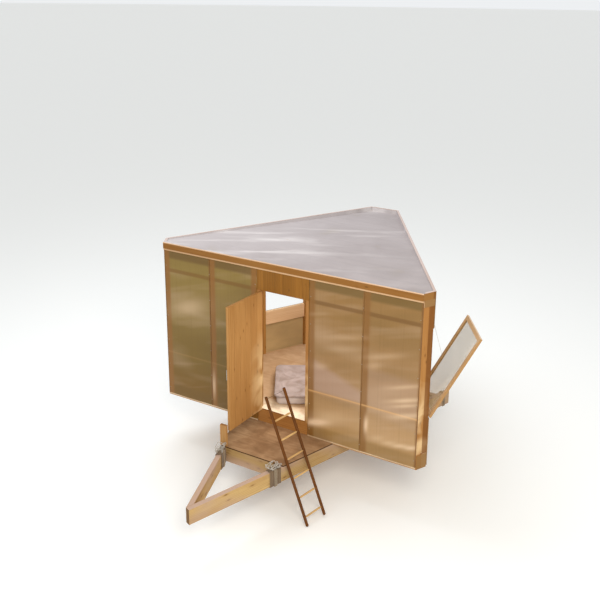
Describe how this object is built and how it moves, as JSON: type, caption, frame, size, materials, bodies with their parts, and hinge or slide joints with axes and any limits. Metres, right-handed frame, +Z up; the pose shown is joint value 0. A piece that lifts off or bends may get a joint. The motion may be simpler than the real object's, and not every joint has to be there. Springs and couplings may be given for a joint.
{
  "type": "tree house",
  "caption": "Three-sided timber tree house with translucent walls, a low sloped roof, an open door, a tilted window leaf, a V-shaped beam frame, a small deck and a pole ladder.",
  "frame": {"origin": "middle of the front cross beam's outer face, at half the beams' height, where the frame bears", "axes": "X along the front wall, +Y from the front wall into the cabin, +Z up"},
  "size_m": [5.0648, 5.8629, 3.4514],
  "materials": {
    "beam_timber": "rough sawn softwood",
    "frame_timber": "planed softwood",
    "fascia_timber": "oiled boards",
    "strip_timber": "pale planed strip",
    "door_timber": "oiled boards",
    "plywood": "dull plywood",
    "translucent_sheet": "satin translucent sheet",
    "clear_sheet": "clear sheet",
    "roof_membrane": "weathered sheet membrane",
    "rope": "laid rope",
    "cord": "thin braided cord",
    "wrap": "coarse cloth wrap",
    "steel": "dull zinc plated",
    "ladder_pole": "dark stained pole",
    "ladder_rung": "bare pale wood",
    "mattress_cover": "plain cotton",
    "duvet_cover": "plain cotton"
  },
  "bodies": {
    "cabin": {"arm_ropes": "rope", "arm_sleeves": "wrap", "deck_board": "plywood", "deck_corner_post": "beam_timber", "door_head": "frame_timber", "door_hinge_pins": "steel", "door_jambs": "frame_timber", "duvet": "duvet_cover", "eaves_strips": "strip_timber", "flap_frame": "frame_timber", "flap_hinges": "steel", "flap_peg": "frame_timber", "flap_sheet": "clear_sheet", "flap_stay": "cord", "floor_beam_front": "beam_timber", "floor_beam_rear": "beam_timber", "floor_beam_sides": "beam_timber", "floor_board": "plywood", "floor_joists": "frame_timber", "front_crossbeam": "beam_timber", "front_posts": "frame_timber", "front_rails": "frame_timber", "front_sheets_left": "translucent_sheet", "front_sheets_right": "translucent_sheet", "ladder_rails": "ladder_pole", "ladder_rungs": "ladder_rung", "ladder_string": "cord", "left_posts": "frame_timber", "left_rails": "frame_timber", "left_sheets": "translucent_sheet", "lintel_board": "fascia_timber", "main_beams": "beam_timber", "mattress": "mattress_cover", "rear_crossbeam": "beam_timber", "rear_ropes": "rope", "rear_sheet": "translucent_sheet", "right_posts": "frame_timber", "right_rails": "frame_timber", "right_sheets": "translucent_sheet", "roof_board": "plywood", "roof_curb_front": "fascia_timber", "roof_curb_rear": "fascia_timber", "roof_curb_sides": "fascia_timber", "roof_joists": "frame_timber", "roof_membrane": "roof_membrane", "top_plate_front": "frame_timber", "top_plate_rear": "frame_timber", "top_plate_sides": "frame_timber", "v_arm_left": "beam_timber", "v_arm_right": "beam_timber"},
    "door": {"door_boards": "door_timber", "door_frame": "door_timber", "door_handle": "steel", "door_hinge_leaves": "steel"}
  },
  "joints": [
    {"name": "door_hinge", "type": "hinge", "parent": "cabin", "child": "door", "pos_m": [-0.38449, 0.832, 1.316], "axis": [0, 0, 1], "range_deg": [-70, 95]}
  ]
}
